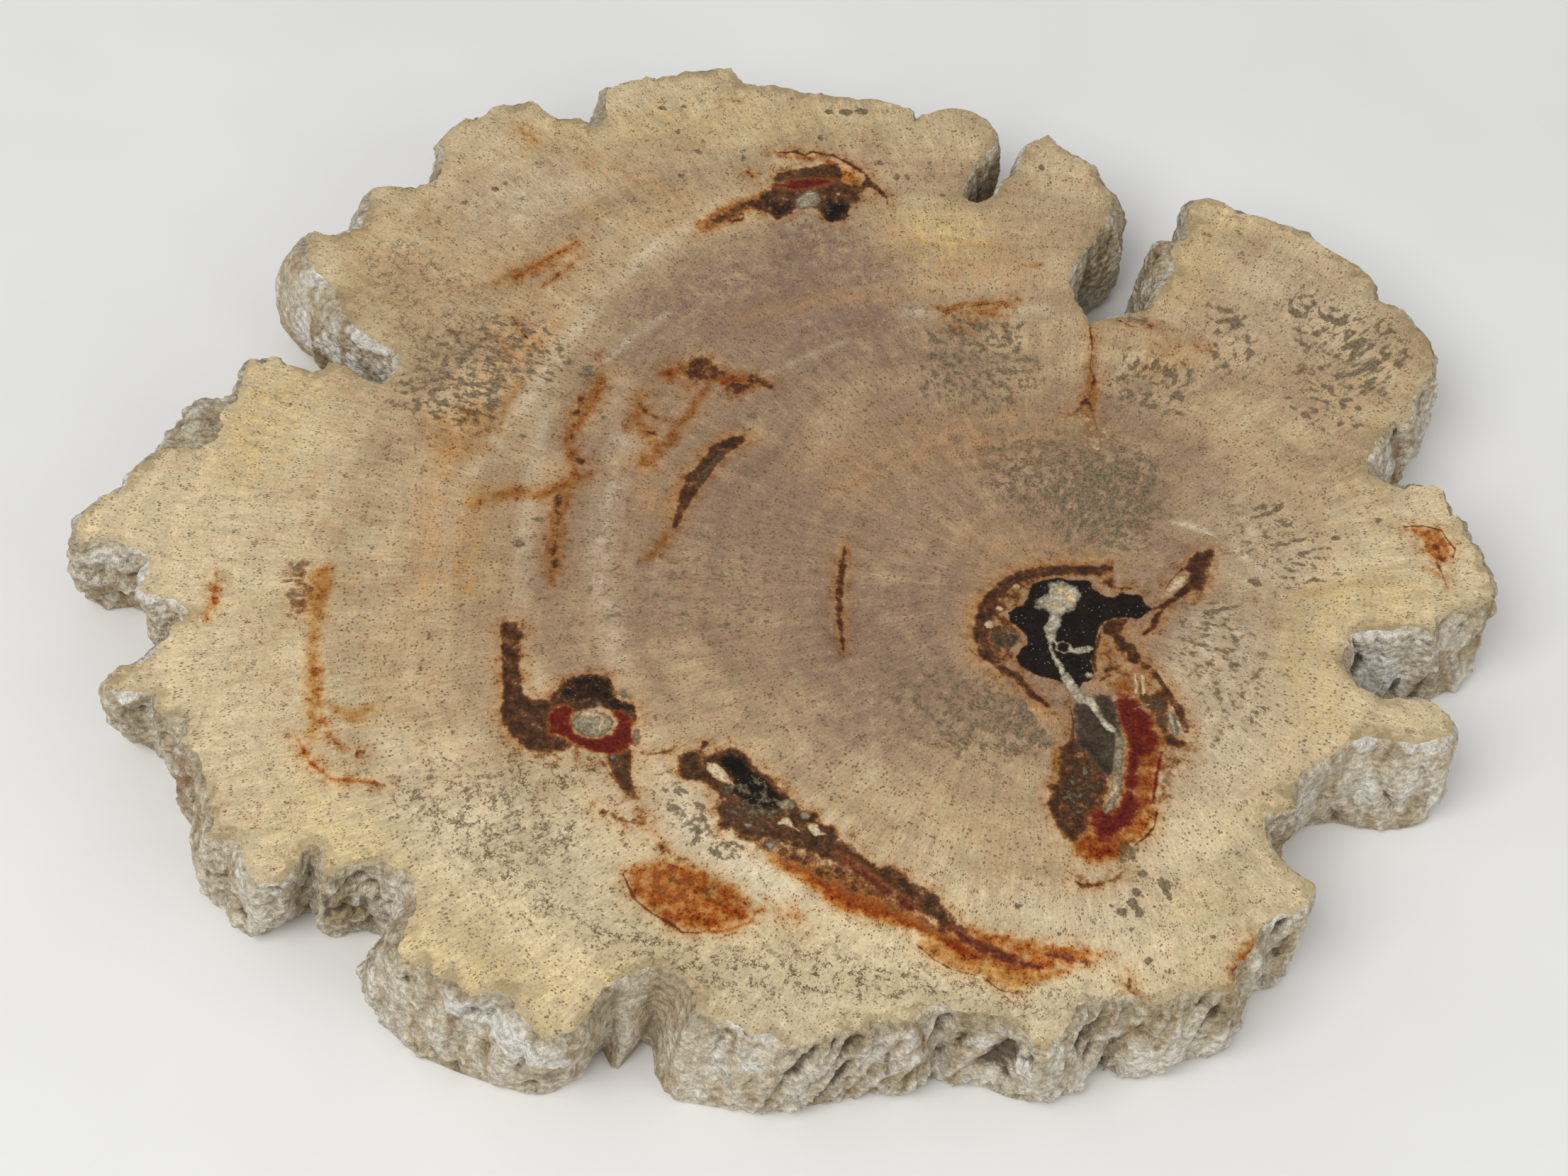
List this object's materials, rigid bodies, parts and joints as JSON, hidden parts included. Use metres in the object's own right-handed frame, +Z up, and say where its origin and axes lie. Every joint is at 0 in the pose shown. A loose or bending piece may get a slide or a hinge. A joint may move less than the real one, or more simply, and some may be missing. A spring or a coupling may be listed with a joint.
{
  "type": "petrified wood slice",
  "caption": "Flat slice of a petrified tree trunk: one stone with a polished face, a rough broken wall in lobes and notches, and a flat sawn underside.",
  "frame": {"origin": "on the flat underside, under the middle of the slice", "axes": "+Z up, out of the polished face; +X to the right and +Y away from the viewer, as the slice lies in the picture"},
  "size_m": [0.2539, 0.2333, 0.022],
  "materials": {
    "petrified_wood": "silicified wood, so stone: polished cream to pinkish-brown face, rough beige-grey broken wall"
  },
  "bodies": {
    "root": {"petrified_wood_slice": "petrified_wood"}
  },
  "joints": []
}
